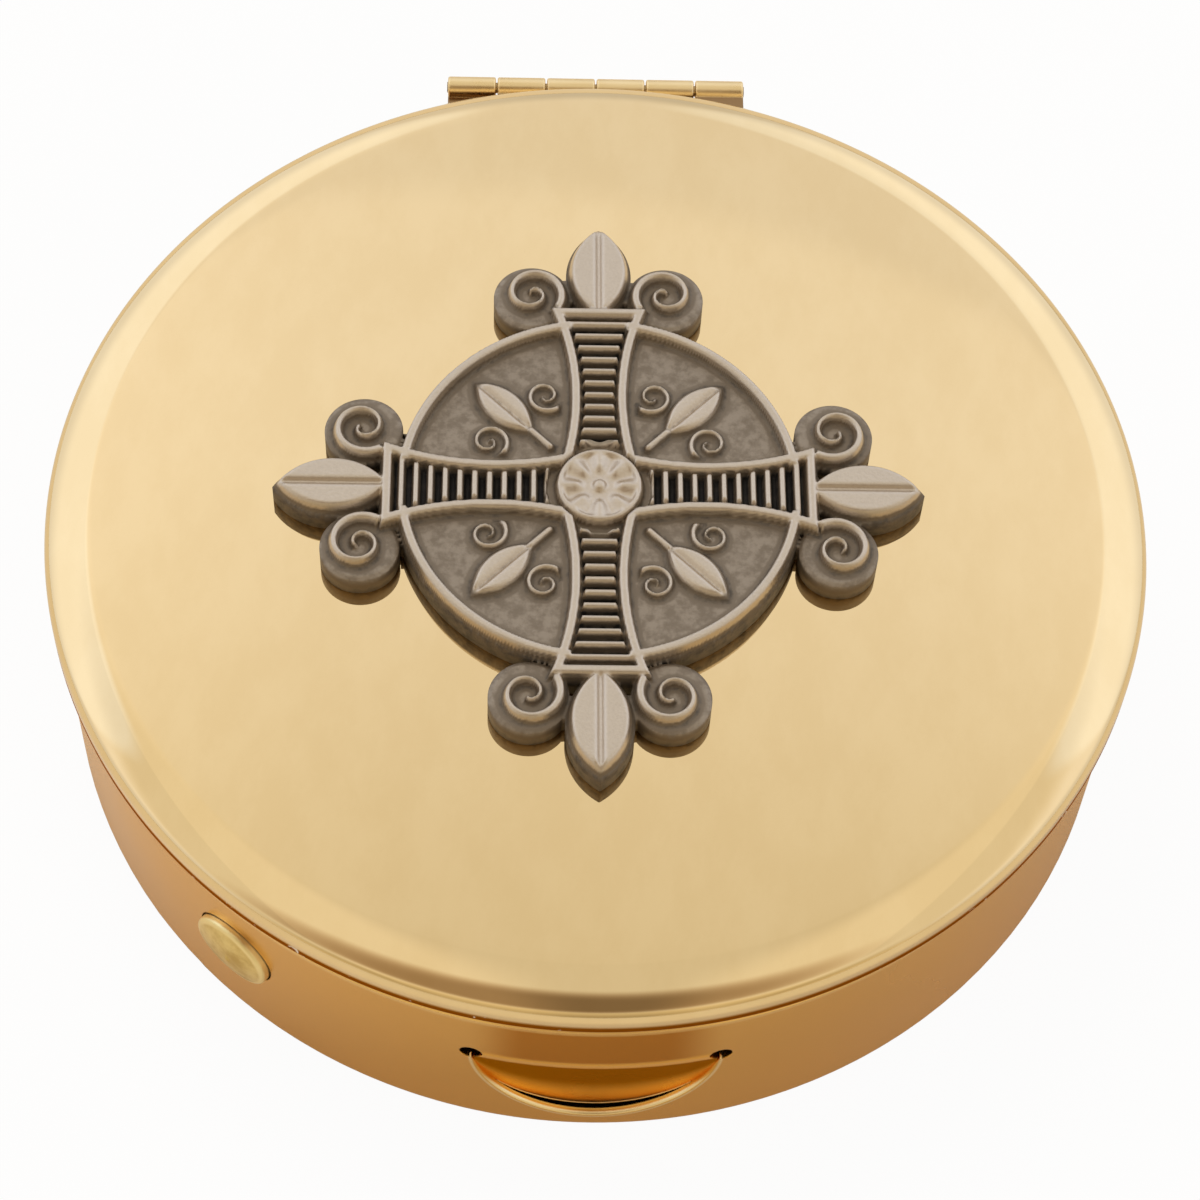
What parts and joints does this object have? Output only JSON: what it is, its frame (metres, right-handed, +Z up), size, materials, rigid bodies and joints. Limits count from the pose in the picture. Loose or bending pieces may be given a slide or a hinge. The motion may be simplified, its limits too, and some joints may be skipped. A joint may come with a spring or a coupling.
{
  "type": "pyx",
  "caption": "Round gilt metal pyx: shallow cup with a thumb scoop and push-button catch, a hinged cap lid and a cast metal ornament on the lid.",
  "frame": {"origin": "centre of the base, on the surface the box stands on", "axes": "+Z up through the lid, +Y towards the hinge at the back, -Y towards the thumb scoop"},
  "size_m": [0.076, 0.078, 0.0226],
  "materials": {
    "gilt_body": "satin gilt",
    "gilt_lid": "polished gilt",
    "gilt_hinge": "satin gilt",
    "pin_brass": "drawn wire",
    "button_brass": "lightly worn brass",
    "spring_bronze": "rolled strip",
    "pewter": "antiqued pewter casting"
  },
  "bodies": {
    "box": {"body_cup": "gilt_body", "body_hinge_leaf": "gilt_hinge", "hinge_pin": "pin_brass", "catch_spring": "spring_bronze"},
    "lid": {"lid_shell": "gilt_lid", "lid_hinge_leaf": "gilt_hinge", "catch_keeper": "gilt_hinge", "emblem": "pewter"},
    "button": {"push_button": "button_brass"}
  },
  "joints": [
    {"name": "lid_hinge", "type": "hinge", "parent": "box", "child": "lid", "pos_m": [0, 0.03925, 0.01695], "axis": [-1, 0, 0], "range_deg": [0, 180], "deforming": ["catch_spring"]},
    {"name": "button_press", "type": "slide", "parent": "box", "child": "button", "axis": [0.6414, 0.7672, 0], "range_m": [0, 0.0006], "stiffness_N_per_m": 1500, "deforming": ["catch_spring"]}
  ]
}
